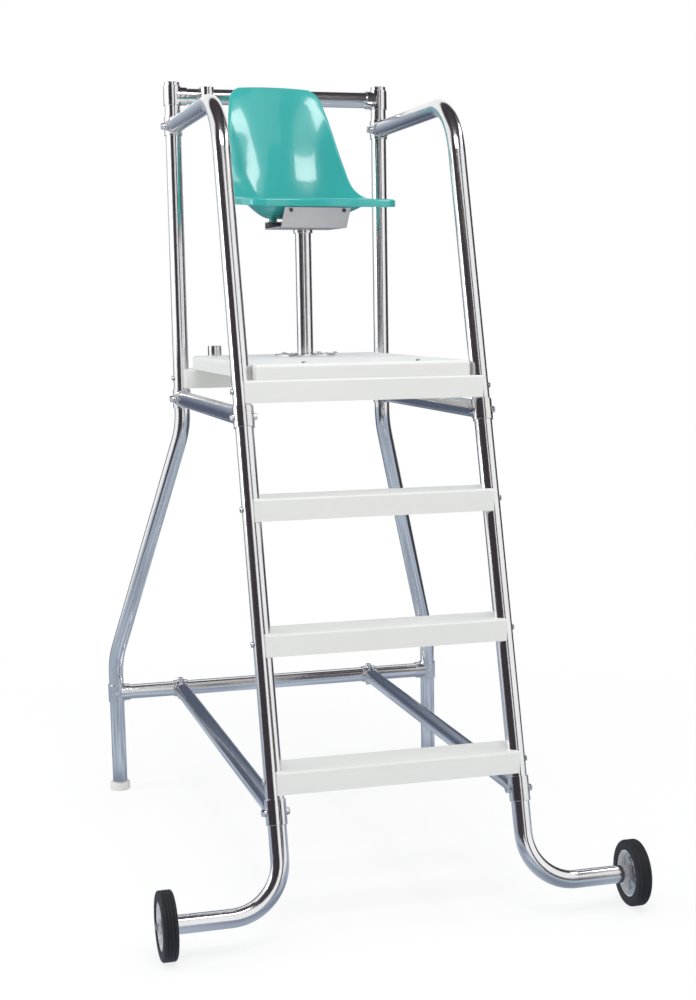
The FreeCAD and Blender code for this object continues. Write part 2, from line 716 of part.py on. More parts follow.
# Pole holder: a sleeve clamped to the top rail and a socket in the deck
rail_point = ("-pole_x", REAR_Y, "top_rail_height")
sleeve_low = ("-pole_x", f"{REAR_Y} - pole_y", "top_rail_height + pole_sleeve_rise - pole_sleeve_length")
clamp = rounded(centred_rod(rail_point, "right", "pole_clamp_width", COLLAR_OD), "edge_round")
sleeve = rounded(rod(sleeve_low, "up", "pole_sleeve_length", POLE_OD), "edge_round")
bridge = box(("-pole_x - pole_bore / 2", f"{REAR_Y} - pole_y", "top_rail_height - pole_bore / 3"),
             "pole_bore", "pole_y", "2 * pole_bore / 3")
boss = rod(rail_point, "down", BOSS_FACE, "boss_od")
bores = [centred_rod(rail_point, "right", "3 * pole_clamp_width", COLLAR_ID),
         rod(step(sleeve_low, "down", "5"), "up", "pole_sleeve_length + 10", "pole_bore"),
         rod(rail_point, "down", f"2 * {BOSS_FACE}", SMALL_HOLE)]
piece(cut(fuse(clamp, sleeve, bridge, boss), *bores), "pole_sleeve")
cup_low = step(socket, "up", "deck_height - socket_sink")
cup = rounded(rod(cup_low, "up", "socket_sink + socket_rise", POLE_OD), "edge_round")
piece(cut(cup, rod(step(cup_low, "up", "pole_wall"), "up", "socket_sink + socket_rise", "pole_bore")), "pole_socket")

# Pedestal: flange with a spigot, post and swivel bush
base = ("0", SEAT_Y, DECK_TOP)
flange = rounded(rod(base, "up", "flange_thickness", "flange_od"), "edge_round")
spigot = chamfered(rod(base, "up", "spigot_length", f"{TUBE_ID} - 2 * fit_gap"), "edge_round")
holes = [centred_rod(spot, "up", "4 * flange_thickness", SMALL_HOLE) for spot in flange_spots]
piece(cut(fuse(flange, spigot), *holes), "pedestal_base")
POST_TOP = "(bracket_height - end_gap - ring_height)"
post_low = step(base, "up", "flange_thickness")
straight_tube("pedestal_post", post_low, "up", f"{POST_TOP} - {DECK_TOP} - flange_thickness")
ring_low = ("0", SEAT_Y, POST_TOP)
ring = rounded(rod(ring_low, "up", "ring_height", "ring_od"), "edge_round")
sleeve = rod(step(ring_low, "down", "bush_length"), "up", "bush_length + 1", f"{TUBE_ID} - 2 * fit_gap")
bore = rod(step(ring_low, "down", "bush_length + 1"), "up", "bush_length + ring_height + 2",
           "spindle_od + 2 * running_gap")
piece(cut(fuse(ring, sleeve), bore), "swivel_bush")


# Seat group: built square on the swivel axis, then turned about it
def on_swivel(item, label):
    put(item, ("0", SEAT_Y, "0"), (0, 0, 1), "seat_turn")
    return piece(item, label)


spindle = chamfered(rod(("0", "0", "bracket_height - spindle_length"), "up",
                        "spindle_length + bracket_sheet", "spindle_od"), "edge_round")
on_swivel(fuse(spindle), "seat_spindle")

# Seat bracket: one bent sheet with a sloping front plate and a rear flange
SLOPE = "((bracket_top - bracket_base) / bracket_rise)"
SLANT = "sqrt(bracket_rise ^ 2 + (bracket_top - bracket_base) ^ 2)"
ACROSS_SHEET = f"(bracket_sheet * {SLANT} / bracket_rise)"
body = add("PartDesign::Body", "sheet")
profile = outline(body, "YZ_Plane", (
    ("-bracket_base", "0.001"),
    ("-bracket_top", "bracket_rise"),
    (f"{ACROSS_SHEET} - bracket_top", "bracket_rise"),
    (f"{ACROSS_SHEET} - bracket_base - {SLOPE} * bracket_sheet", "bracket_sheet"),
    ("bracket_rear - bracket_sheet", "bracket_sheet"),
    ("bracket_rear - bracket_sheet", "bracket_rear_rise - bracket_sheet"),
    ("bracket_rear - bracket_flange", "bracket_rear_rise - bracket_sheet"),
    ("bracket_rear - bracket_flange", "bracket_rear_rise"),
    ("bracket_rear", "bracket_rear_rise"),
    ("bracket_rear", "0.001"),
))
profile.recompute()
sheet = body.newObject("PartDesign::Pad", "sheet_pad")
sheet.Profile = profile
sheet.SideType = "Symmetric"
bind(sheet, Length="bracket_width")
body.Tip = sheet
put(body, ("0", "0", "bracket_height"))
TILT = ((-1, 0, 0), "atan2(bracket_rise; bracket_top - bracket_base)")
RISE_PART = f"(bracket_rise / {SLANT})"
RUN_PART = f"((bracket_top - bracket_base) / {SLANT})"


def tilted_rod(spot, length, diameter):
    """A cylinder that runs back and up, square to the front plate."""
    item = bind(add("Part::Cylinder", "rod"), Radius=f"({diameter}) / 2", Height=length)
    return put(item, spot, *TILT)


def tilted_step(spot, distance):
    x, y, z = spot
    return (x, f"{y} + ({distance}) * {RISE_PART}", f"{z} + ({distance}) * {RUN_PART}")


front_spots = [(f"{sign} * seat_bolt_x",
                f"seat_bolt_drop * {RUN_PART} - bracket_top",
                f"bracket_height + bracket_rise - seat_bolt_drop * {RISE_PART}") for side, sign in SIDES]
rear_spots = [(f"{sign} * seat_bolt_x", "bracket_rear - bracket_flange / 2",
               "bracket_height + bracket_rear_rise - bracket_sheet") for side, sign in SIDES]
SEAT_HOLE = "(seat_bolt_od + 2 * fit_gap)"
holes = [tilted_rod(tilted_step(spot, "-5"), "15", SEAT_HOLE) for spot in front_spots]
holes += [centred_rod(spot, "up", "4 * bracket_sheet", SEAT_HOLE) for spot in rear_spots]
holes.append(centred_rod(("0", "0", "bracket_height"), "up", "4 * bracket_sheet",
                         "spindle_od + 2 * running_gap"))
on_swivel(cut(body, *holes), "seat_bracket")

# Seat bolts: two through the front plate and two up through the rear flange
BOLT_REACH = "(bracket_sheet + 11)"
bolts = []
for spot in front_spots:
    head = rounded(tilted_rod(tilted_step(spot, "-seat_head_height"), "seat_head_height", "seat_head_od"),
                   "edge_round")
    bolts.append(fuse(head, tilted_rod(tilted_step(spot, "-0.5"), f"{BOLT_REACH} + 0.5", "seat_bolt_od")))
for spot in rear_spots:
    head = rounded(rod(spot, "down", "seat_head_height", "seat_head_od"), "edge_round")
    bolts.append(fuse(head, rod(step(spot, "down", "0.5"), "up", f"{BOLT_REACH} + 0.5", "seat_bolt_od")))
on_swivel(group(bolts), "seat_bolts")

# Seat shell: cross sections lofted along the middle line from lip to back.
# Each station gives distance forward of the swivel, height over the bracket,
# half width, lift of the side edges and turn-out of the rim.
STATIONS = (
    (239, 54, 186, 1, 0),
    (243, 64, 201, 2, 0),
    (238, 71, 211, 3, 1),
    (222, 76, 220, 4, 3),
    (190, 75, 229, 8, 6),
    (140, 65, 235, 16, 9),
    (70, 49, 233, 31, 12),
    (-10, 39, 224, 48, 14),
    (-90, 38, 212, 67, 14),
    (-150, 55, 204, 84, 14),
    (-188, 100, 196, 92, 13),
    (-208, 170, 186, 84, 12),
    (-222, 260, 172, 62, 11),
    (-232, 340, 157, 37, 9),
    (-239, 398, 144, 20, 7),
    (-243, 421, 132, 11, 4),
    (-247, 433, 116, 6, 1),
)
SECTION_POINTS = 25


def section_points(place, along, half, lift, rim, offset):
    """Points across one section, moved off the sitting surface by an offset."""
    normal = Vector(0, -along.z, along.y)
    flat = []
    for index in range(SECTION_POINTS):
        across = math.sin(math.pi / 2 * (2 * index / (SECTION_POINTS - 1) - 1))
        share = abs(across)
        rise = lift * share ** 3.2
        if share > 0.9:
            rise -= rim * ((share - 0.9) / 0.1) ** 2
        flat.append((half * across, rise))
    points = []
    for index, (x, rise) in enumerate(flat):
        before = flat[max(index - 1, 0)]
        after = flat[min(index + 1, len(flat) - 1)]
        run, climb = after[0] - before[0], after[1] - before[1]
        size = math.hypot(run, climb)
        x_moved = x - offset * climb / size
        rise_moved = rise + offset * run / size
        points.append(place + Vector(x_moved, 0, 0) + normal * rise_moved)
    return points


def smooth(points):
    curve = Part.BSplineCurve()
    curve.interpolate(points)
    return curve.toShape()


def layer(stations, first, last):
    """The solid between two offsets from the sitting surface."""
    base = number("bracket_height")
    spots = [Vector(0, -station[0], base + station[1]) for station in stations]
    wires = []
    for index, (spot, station) in enumerate(zip(spots, stations)):
        before = spots[max(index - 1, 0)]
        after = spots[min(index + 1, len(spots) - 1)]
        along = (after - before).normalize()
        low = section_points(spot, along, *station[2:], first)
        high = section_points(spot, along, *station[2:], last)
        wires.append(Part.Wire([
            smooth(low),
            Part.LineSegment(low[-1], high[-1]).toShape(),
            smooth(high[::-1]),
            Part.LineSegment(high[0], low[0]).toShape(),
        ]))
    return Part.makeLoft(wires, True, False)


wall = number("shell_wall")
shell = layer(STATIONS, -wall, 0)
room = layer(STATIONS[4:10], -wall / 2, 60)
lugs = []
for spot in front_spots:
    start = Vector(*[number(value) for value in tilted_step(spot, "bracket_sheet")])
    lean = Vector(0, number(RISE_PART), number(RUN_PART))
    lugs.append((start, lean))
for spot in rear_spots:
    start = Vector(*[number(value) for value in step(spot, "up", "bracket_sheet")])
    lugs.append((start, Vector(0, 0, 1)))
for start, lean in lugs:
    lug = Part.makeCylinder(number("lug_od") / 2, 40, start, lean)
    lug = lug.cut(room)
    lug = min(lug.Solids, key=lambda solid: (solid.CenterOfMass - start).Length)
    shell = shell.fuse(lug)
for start, lean in lugs:
    shell = shell.cut(Part.makeCylinder(number(SEAT_HOLE) / 2, 13, start - lean, lean))
item = add("Part::Feature", "shell")
item.Shape = shell
on_swivel(item, "seat_shell")


def turned(profile, sign):
    """A solid turned from a closed profile of reach and radius about the X axis."""
    body = add("PartDesign::Body", "turning")
    sketch = outline(body, "XZ_Plane", [(f"{sign} * ({x})", radius) for x, radius in profile])
    sketch.recompute()
    spin = body.newObject("PartDesign::Revolution", "spin")
    spin.Profile = sketch
    spin.ReferenceAxis = (sketch, ["H_Axis"])
    spin.Angle = 360
    body.Tip = spin
    return body


# Wheels: tyre, rim with windows between its spokes, bush, axle bolt and plug
plugs = []
for side, sign in SIDES:
    outward = side
    inner = (f"{sign} * wheel_reach", AXLE_Y, "wheel_radius")
    middle = (f"{sign} * (wheel_reach + wheel_width / 2)", AXLE_Y, "wheel_radius")
    tyre = rounded(centred_rod(middle, "right", "wheel_width", "2 * wheel_radius"), "tyre_round")
    tools = [centred_rod(middle, "right", "2 * wheel_width", "2 * rim_radius")]
    for place in ("-1", "0", "1"):
        ring = bind(add("Part::Torus", "groove"), Radius1="wheel_radius", Radius2="tyre_groove")
        spot = step(middle, "right", f"{place} * groove_pitch")
        tools.append(put(ring, spot, (0, 1, 0), "90"))
    piece(cut(tyre, *tools), f"tyre_{side}")

    edge = "wheel_width / 2 - rim_inset"
    hub = f"{edge} - hub_inset"
    web = "web_thickness / 2"
    rim = turned((
        (f"-({edge})", "rim_radius"),
        (edge, "rim_radius"),
        (edge, "rim_radius - rim_wall + 1"),
        (web, "rim_radius - rim_wall - 1"),
        (web, "hub_od / 2 + 2"),
        (edge, "hub_od / 2"),
        (edge, "bush_od / 2"),
        (f"-({hub})", "bush_od / 2"),
        (f"-({hub})", "hub_od / 2"),
        (f"-({web})", "hub_od / 2 + 2"),
        (f"-({web})", "rim_radius - rim_wall - 1"),
        (f"-({edge})", "rim_radius - rim_wall + 1"),
    ), sign)
    windows = []
    for index in range(6):
        angle = 60 * index + 30
        y = f"window_reach * {math.cos(math.radians(angle)):.6f}"
        z = f"window_reach * {math.sin(math.radians(angle)):.6f}"
        hole = add("Part::Prism", "window")
        hole.Polygon = 3
        bind(hole, Circumradius="window_radius", Height="2 * web_thickness")
        put(hole, ("-web_thickness", y, z))
        turn = Rotation(Vector(1, 0, 0), angle) * Rotation(Vector(0, 1, 0), 90)
        hole.Placement = Placement(hole.Placement.Base, turn)
        windows.append(hole)
    wheel = cut(rim, *windows)
    put(wheel, middle)
    piece(wheel, f"wheel_rim_{side}")

    start = (f"{sign} * ({HUB_FACE} - wheel_gap + end_gap)", AXLE_Y, "wheel_radius")
    length = "(wheel_width - 2 * rim_inset - hub_inset)"
    flange = "(wheel_gap - end_gap)"
    sleeve = rod(start, outward, f"{length} + 2 * {flange}", "bush_od")
    disc = rod(start, outward, flange, "bush_flange")
    far = rod(step(start, outward, f"{length} + {flange}"), outward, flange, "bush_flange")
    bore = rod(step(start, outward, "-1"), outward, f"{length} + 2 * {flange} + 2",
               "axle_od + 2 * running_gap")
    piece(cut(fuse(sleeve, disc, far), bore), f"wheel_bush_{side}")

    head = step(start, outward, f"{length} + 2 * {flange} + 0.5")
    cap = hexagon(head, outward, "8", "18")
    washer = rod(head, outward, "washer_thickness", "washer_od + 5")
    shank = rod(step(head, outward, "1"), OPPOSITE[side], f"{length} + 2 * {flange} + 36", "axle_od")
    piece(fuse(cap, washer, shank), f"axle_bolt_{side}")

    face = (f"{sign} * ({HUB_FACE} - wheel_gap)", AXLE_Y, "wheel_radius")
    block = rod(face, OPPOSITE[side], "plug_length", f"{TUBE_ID} - 2 * fit_gap")
    bore = rod(step(face, outward, "1"), OPPOSITE[side], "plug_length + 2", "axle_od + 2 * thread_gap")
    plugs.append(cut(block, bore))
piece(group(plugs), "axle_plugs")

# Check every object, then write one file per piece
doc.recompute()
for item in doc.Objects:
    if "Invalid" in item.State or "Error" in item.State:
        raise RuntimeError(f"{item.Label} did not build")
os.makedirs("parts", exist_ok=True)
for item in pieces:
    shape = item.Shape
    if shape.isNull() or not shape.isValid() or not shape.Solids:
        raise RuntimeError(f"{item.Label} is not a valid solid")
    shape.exportStep(f"parts/{item.Label}.step")
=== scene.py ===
import bpy
import json
import math
import bmesh
from mathutils import Matrix, Vector
from mathutils.bvhtree import BVHTree


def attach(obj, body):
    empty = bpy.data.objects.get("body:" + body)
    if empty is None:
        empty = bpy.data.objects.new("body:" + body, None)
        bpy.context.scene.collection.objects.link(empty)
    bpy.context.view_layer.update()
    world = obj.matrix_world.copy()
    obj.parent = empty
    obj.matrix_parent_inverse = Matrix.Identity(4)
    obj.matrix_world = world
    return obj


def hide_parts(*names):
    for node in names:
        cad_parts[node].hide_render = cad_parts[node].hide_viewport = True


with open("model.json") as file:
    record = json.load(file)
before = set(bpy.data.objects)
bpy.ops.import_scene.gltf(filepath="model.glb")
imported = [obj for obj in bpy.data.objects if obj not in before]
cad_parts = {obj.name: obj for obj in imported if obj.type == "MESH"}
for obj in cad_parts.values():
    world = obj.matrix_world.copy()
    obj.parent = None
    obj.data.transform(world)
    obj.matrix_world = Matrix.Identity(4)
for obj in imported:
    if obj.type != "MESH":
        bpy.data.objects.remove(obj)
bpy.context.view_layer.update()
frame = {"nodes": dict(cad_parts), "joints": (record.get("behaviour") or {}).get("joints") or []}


# Tubes: stainless steel railing tube, each piece bent cold from one length and
# polished bright. The polish leaves fine wear in the gloss, and hands and water
# leave faint smears.
class Value:
    """A shader socket that takes part in plain arithmetic."""

    def __init__(self, nodes, socket):
        self.nodes = nodes
        self.socket = socket

    def maths(self, operation, *values, **settings):
        return self.nodes.node("Math", {"operation": operation, **settings}, *values)["Value"]

    def __add__(self, other):
        return self.maths("ADD", self, other)

    def __radd__(self, other):
        return self.maths("ADD", other, self)

    def __sub__(self, other):
        return self.maths("SUBTRACT", self, other)

    def __rsub__(self, other):
        return self.maths("SUBTRACT", other, self)

    def __mul__(self, other):
        return self.maths("MULTIPLY", self, other)

    def __rmul__(self, other):
        return self.maths("MULTIPLY", other, self)

    def either(self, other):
        """The larger of two values."""
        return self.maths("MAXIMUM", self, other)

    def above(self, level):
        """1 where the value is over a level and 0 elsewhere."""
        return self.maths("GREATER_THAN", self, level)

    def clipped(self):
        """The value kept between 0 and 1."""
        return self.maths("MULTIPLY_ADD", self, 1.0, 0.0, use_clamp=True)


def socket_in_use(sockets, name):
    """The socket of that name which the node's settings leave open."""
    return next(socket for socket in sockets if socket.name == name and socket.enabled)


class Outputs:
    """The outputs of a node, by name."""

    def __init__(self, nodes, node):
        self.nodes = nodes
        self.node = node

    def __getitem__(self, name):
        return Value(self.nodes, socket_in_use(self.node.outputs, name))


class Nodes:
    """A node tree that one call adds a node to, set up and linked."""

    def __init__(self, tree):
        self.tree = tree

    def node(self, kind, settings, *values, **named):
        """Add a node, set it up, fill its sockets and return its outputs."""
        node = self.tree.nodes.new("ShaderNode" + kind)
        for key, setting in settings.items():
            setattr(node, key, setting)
        for socket, value in zip(node.inputs, values):
            self.fill(socket, value)
        for key, value in named.items():
            self.fill(socket_in_use(node.inputs, key.replace("_", " ")), value)
        return Outputs(self, node)

    def fill(self, socket, value):
        """Link a value to a socket, or set a number, vector or colour on it."""
        if isinstance(value, Value):
            self.tree.links.new(value.socket, socket)
        elif socket.type == "RGBA":
            socket.default_value = (*value, 1)
        else:
            socket.default_value = value


class Finish(Nodes):
    """A material: a principled shader and the values that vary over it."""

    def __init__(self, name, colour, roughness, **constants):
        self.material = bpy.data.materials.new(name)
        self.material.use_nodes = True
        super().__init__(self.material.node_tree)
        self.shader = self.tree.nodes["Principled BSDF"]
        self.colour = colour
        self.roughness = roughness
        self.feed("Base Color", colour)
        self.feed("Roughness", roughness)
        for socket, value in constants.items():
            self.feed(socket.replace("_", " "), value)
        self.place = self.node("TexCoord", {})["Object"]

    def feed(self, socket, value):
        self.fill(self.shader.inputs[socket], value)

    def noise(self, scale, detail=2.0):
        return self.node("TexNoise", {}, Vector=self.place, Scale=scale, Detail=detail)["Fac"]

    def mix(self, factor, first, second):
        """A colour between two others."""
        return self.node("Mix", {"data_type": "RGBA"}, Factor=factor, A=first, B=second)["Result"]

    def tint(self, factor, other):
        """Let the colour drift towards another one."""
        self.feed("Base Color", self.mix(factor, self.colour, other))

    def roughen(self, amount):
        """Let the roughness vary from its plain level."""
        self.feed("Roughness", (amount + self.roughness).clipped())

    def bump(self, relief, strength, height):
        """Give the surface a fine relief, with its height in metres."""
        node = self.node("Bump", {}, Strength=strength, Distance=height, Height=relief)
        self.feed("Normal", node["Normal"])


SMEAR_SCALE, WEAR_SCALE = 9.0, 260.0
WEAR_SHARE = 0.6
SMEARED_TONE = 0.86


def steel(name, colour, roughness, smear,
          lump_scale=WEAR_SCALE, lump_detail=2.0, strength=0.08, height=0.0003):
    """Bright metal with smears and fine wear in its gloss and lumps in its skin."""
    finish = Finish(name, colour, roughness, Metallic=1.0)
    smears = finish.noise(SMEAR_SCALE, 3.0)
    wear = finish.noise(WEAR_SCALE)
    finish.roughen(smears * smear + wear * (smear * WEAR_SHARE))
    finish.tint(smears, tuple(channel * SMEARED_TONE for channel in colour))
    finish.bump(finish.noise(lump_scale, lump_detail), strength, height)
    return finish


def dress(finish, *nodes):
    """Give CAD nodes a material."""
    for name in nodes:
        materials = frame["nodes"][name].data.materials
        materials.clear()
        materials.append(finish.material)


def pair(*names):
    """The names of the left and right nodes."""
    return [f"{name}_{side}" for name in names for side in ("left", "right")]


tube_steel = steel("polished_tube_steel", (0.90, 0.89, 0.90), 0.094, smear=0.08)
dress(tube_steel, *pair("rear_leg", "front_rail", "wheel_leg", "side_brace", "lower_brace"),
      "top_rail", "lower_cross_tube", "pedestal_post")


# Tees, couplings, sockets and the pedestal's foot: cast stainless fittings,
# tumbled and polished, so their skin is lumpier than the tube's. They slide
# over the tubes and are clamped, and the foot is bolted to the deck.
cast_steel = steel("cast_fitting_steel", (0.86, 0.85, 0.86), 0.07, smear=0.10,
                   lump_scale=70.0, lump_detail=3.0, strength=0.25, height=0.0012)
dress(cast_steel, *pair("top_tee", "foot_tee", "arm_tee", "rear_brace_tee", "front_brace_tee",
                        "rail_coupling", "cross_tee"), "pole_sleeve", "pole_socket", "pedestal_base")


# Bolts, nuts, screws and the seat's spindle: turned from stainless steel bar,
# so they are the smoothest metal on the chair. The plugs in the tubes' ends and
# the ring that the spindle turns in show bright metal faces too.
bolt_steel = steel("bright_bolt_steel", (0.88, 0.87, 0.88), 0.064, smear=0.08)
dress(bolt_steel, "clamp_bolts", "clamp_nuts", "tee_screws", "tread_bolts", "deck_bolts", "deck_nuts",
      "pedestal_bolts", "axle_plugs", "upright_plugs", "seat_spindle", "swivel_bush", *pair("axle_bolt"))


# Steps and deck: thick white plastic, moulded hollow below and bolted on, with
# a fine grain in its skin and a trace of grime in soft clouds over it.
white = Finish("moulded_white_plastic", (0.82, 0.82, 0.79), 0.36, Specular_IOR_Level=0.45)
cloud = white.noise(5.0, 3.0)
white.tint(cloud, (0.77, 0.775, 0.75))
white.roughen(cloud * 0.12)
white.bump(white.noise(900.0), strength=0.12, height=0.0004)
dress(white, "top_step", "middle_step", "bottom_step", "front_platform_tread", "rear_platform_tread", "deck")


# Foot caps: soft white plastic, moulded as cups and pushed over the ends of
# the rear legs, where the ground scuffs them.
cap = Finish("white_cap_plastic", (0.84, 0.83, 0.80), 0.5)
scuff = cap.noise(120.0, 4.0)
cap.tint(scuff, (0.66, 0.65, 0.62))
cap.bump(scuff, strength=0.15, height=0.0005)
dress(cap, "foot_caps")


# Seat: a glossy turquoise shell, laid up in glass fibre with a smooth gel
# coat. A flat pan turns up into a dished back, its sides flare out into the
# wings, and the whole rim is rolled over, deepest round the pan.
MILLIMETRES = Matrix.Scale(0.001, 4)
SEAT_TURN = math.radians(6)


def joint_place(name):
    """Where a joint of the CAD model turns, in metres."""
    return next(joint["pos_m"] for joint in frame["joints"] if joint["name"] == name)


seat_place = Matrix.Translation(joint_place("seat_swivel")) @ Matrix.Rotation(SEAT_TURN, 4, "Z") @ MILLIMETRES

# Rows from the front lip to the top of the back: the middle's distance
# forward and height, the edge's distance forward and height, the half width
# and how far the section flares. Millimetres from the seat's turning point.
SHELL_ROWS = (
    (238, 75, 212, 76, 182, 1.0),
    (234, 76, 207, 76.5, 193, 1.0),
    (226, 76.5, 198, 77, 206, 1.0),
    (212, 75.5, 185, 78, 217, 1.0),
    (188, 73.5, 166, 79.5, 225, 1.0),
    (150, 67.5, 137, 82, 230, 1.0),
    (105, 57.5, 98, 85, 231, 1.0),
    (55, 45.5, 62, 87.5, 227, 1.0),
    (0, 37.5, 26, 90, 219, 1.0),
    (-55, 35.5, -5, 94, 208, 0.9),
    (-102, 44, -32, 103, 198, 0.7),
    (-135, 66, -60, 117, 190.5, 0.45),
    (-158, 97, -84, 134, 186, 0.2),
    (-175, 130, -106, 156, 182, 0.05),
    (-190, 166, -124, 184, 178, 0.0),
    (-205, 212, -144, 222, 172, 0.0),
    (-218, 260, -163, 262, 166, 0.0),
    (-228, 310, -184, 308, 159.5, 0.0),
    (-236, 355, -204, 352, 152, 0.0),
    (-241, 392, -221, 388, 144, 0.0),
    (-244, 412, -231, 410, 137, 0.0),
    (-245.5, 427, -239, 424, 127, 0.0),
    (-246, 435, -244, 433, 112, 0.0),
)
STEPS_PER_ROW = 5
COLUMNS = 72
EDGE_CROWDING = 0.3

# A flaring section stays flat over this share of the half width, and a dished
# one rises with this power of the distance from the middle.
FLAT_SHARE = 0.42
DISH_POWER = 2.4

# The wall, and the rim's roll with the skirt below it, which is deepest round
# the pan and fades out up the back. Millimetres.
SHELL_WALL = 4.5
EDGE_ROUNDING = 1.2
EDGE_ANGLE, SHADING_ANGLE = math.radians(50), math.radians(40)
ROLL_RADIUS = 5.5
ROLL_ANGLES = (22, 45, 68, 90)
SKIRT_SHARES = (0.33, 0.66, 1.0)
PAN_SKIRT, TOP_SKIRT = 15.5, 1.0
PAN_EDGE_HEIGHT = 84
SKIRT_FADE = 80
RIM_SMOOTHING = range(-3, 4)

# The lugs under the shell: the front ones stand square on the bracket's slope,
# the rear ones upright on its flat end.
BRACKET_RISE, BRACKET_RUN = 56, 38
LUG_RADIUS = 12.0
LUG_SIDES = 28
LUG_ACROSS = 82
FRONT_LUG, FRONT_LUG_LEAN = (-130.4, 50.3), Vector((0, BRACKET_RISE, BRACKET_RUN)).normalized()
REAR_LUG, REAR_LUG_LEAN = (35, 22), Vector((0, 0, 1))


def eased(share):
    """A share from 0 to 1 that starts and ends gently."""
    share = min(1.0, max(0.0, share))
    return share * share * (3 - 2 * share)


def smooth_rows(rows, steps):
    """More rows on a smooth curve through the given ones."""
    result = []
    for index in range(len(rows) - 1):
        before, first = rows[max(index - 1, 0)], rows[index]
        second, after = rows[index + 1], rows[min(index + 2, len(rows) - 1)]
        for step in range(steps):
            t = step / steps
            row = []
            for a, b, c, d in zip(before, first, second, after):
                slope = (c - a) / 2
                bend = a - 2.5 * b + 2 * c - d / 2
                twist = 1.5 * (b - c) + (d - a) / 2
                row.append(b + t * (slope + t * (bend + t * twist)))
            result.append(row)
    result.append(rows[-1])
    return result


def shell_section(across, flare):
    """How far a point of a row has gone from the middle's place to the edge's."""
    off = abs(across)
    winged = eased((off - FLAT_SHARE) / (1 - FLAT_SHARE))
    dished = off ** DISH_POWER
    return flare * winged + (1 - flare) * dished


def shell_grid():
    """The points of the shell's inner face, row by row."""
    grid = []
    rows = smooth_rows(SHELL_ROWS, STEPS_PER_ROW)
    for forward, height, edge_forward, edge_height, half_width, flare in rows:
        row = []
        for column in range(COLUMNS + 1):
            even = 2 * column / COLUMNS - 1
            across = even * (1 + EDGE_CROWDING - EDGE_CROWDING * even * even)
            share = shell_section(across, flare)
            set_back = flare * across * across + (1 - flare) * share
            row.append(Vector((half_width * across,
                               -forward - (edge_forward - forward) * set_back,
                               height + (edge_height - height) * share)))
        grid.append(row)
    return grid


def ring(points, inset):
    """The grid's rim, or the points that lie a step inside it."""
    low, high = inset, -1 - inset
    return (points[low][:-1] + [row[high] for row in points[:-1]]
            + points[high][:0:-1] + [row[low] for row in points[:0:-1]])


def roll_rim(sheet, rim, inner):
    """Turn the rim of a sheet outwards and down in a round roll with a skirt."""
    count = len(rim)
    sideways = []
    for index, vertex in enumerate(rim):
        along = rim[(index + 1) % count].co - rim[index - 1].co
        outward = along.cross(vertex.normal).normalized()
        if outward.dot(vertex.co - inner[index].co) < 0:
            outward.negate()
        sideways.append(outward)
    spots = []
    for angle in ROLL_ANGLES:
        turn = math.radians(angle)
        spots.append((ROLL_RADIUS * math.sin(turn), ROLL_RADIUS * (1 - math.cos(turn)), 0.0))
    for share in SKIRT_SHARES:
        spots.append((ROLL_RADIUS, ROLL_RADIUS, share))
    last = rim
    for out, down, share in spots:
        turned = []
        for index, vertex in enumerate(rim):
            outward = sum((sideways[(index + near) % count] for near in RIM_SMOOTHING), Vector()).normalized()
            rise = min(1.0, max(0.0, (vertex.co.z - PAN_EDGE_HEIGHT) / SKIRT_FADE))
            skirt = PAN_SKIRT + (TOP_SKIRT - PAN_SKIRT) * eased(rise)
            upward = (vertex.normal * rise + Vector((0, 0, 1)) * (1 - rise)).normalized()
            turned.append(sheet.verts.new(vertex.co + outward * out - upward * (down + share * skirt)))
        for index in range(count):
            after = (index + 1) % count
            sheet.faces.new((last[index], turned[index], turned[after], last[after]))
        last = turned


def shell_face():
    """The shell's inner face with its rolled rim, as an open sheet."""
    sheet = bmesh.new()
    points = [[sheet.verts.new(point) for point in row] for row in shell_grid()]
    for low, high in zip(points, points[1:]):
        for column in range(COLUMNS):
            sheet.faces.new((low[column], low[column + 1], high[column + 1], high[column]))
    sheet.normal_update()
    roll_rim(sheet, ring(points, 0), ring(points, 1))
    return sheet


def walled(sheet):
    """A sheet with its wall and softened edges."""
    mesh = bpy.data.meshes.new("open_shell")
    sheet.to_mesh(mesh)
    rough = bpy.data.objects.new("open_shell", mesh)
    bpy.context.scene.collection.objects.link(rough)
    wall = rough.modifiers.new("wall", "SOLIDIFY")
    wall.thickness = SHELL_WALL
    wall.offset = -1
    edges = rough.modifiers.new("edges", "BEVEL")
    edges.width = EDGE_ROUNDING
    edges.segments = 2
    edges.limit_method = "ANGLE"
    edges.angle_limit = EDGE_ANGLE
    bpy.context.view_layer.update()
    solid = rough.evaluated_get(bpy.context.evaluated_depsgraph_get())
    shell = bmesh.new()
    shell.from_mesh(bpy.data.meshes.new_from_object(solid))
    bpy.data.objects.remove(rough)
    return shell


def add_lug(shell, underside, start, lean):
    """A round boss that stands on the bracket and runs into the shell."""
    side = lean.cross(Vector((1, 0, 0))).normalized()
    other = lean.cross(side)
    low, high = [], []
    for index in range(LUG_SIDES):
        turn = 2 * math.pi * index / LUG_SIDES
        foot = start + (side * math.cos(turn) + other * math.sin(turn)) * LUG_RADIUS
        reach = underside.ray_cast(foot, lean)[3]
        low.append(shell.verts.new(foot))
        high.append(shell.verts.new(foot + lean * (reach - SHELL_WALL / 2)))
    for index in range(LUG_SIDES):
        shell.faces.new((low[index - 1], low[index], high[index], high[index - 1]))
    shell.faces.new(low[::-1])
    shell.faces.new(high)


def piece(name, shape, place, finish, body, slot, *replaced):
    """A finished piece that rides on a body in place of CAD nodes."""
    bmesh.ops.recalc_face_normals(shape, faces=shape.faces)
    shape.transform(place)
    mesh = bpy.data.meshes.new(name)
    shape.to_mesh(mesh)
    shape.free()
    mesh.materials.append(finish.material)
    mesh.shade_smooth()
    mesh.set_sharp_from_angle(angle=SHADING_ANGLE)
    thing = bpy.data.objects.new(name, mesh)
    bpy.context.scene.collection.objects.link(thing)
    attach(thing, body)
    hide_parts(*replaced)


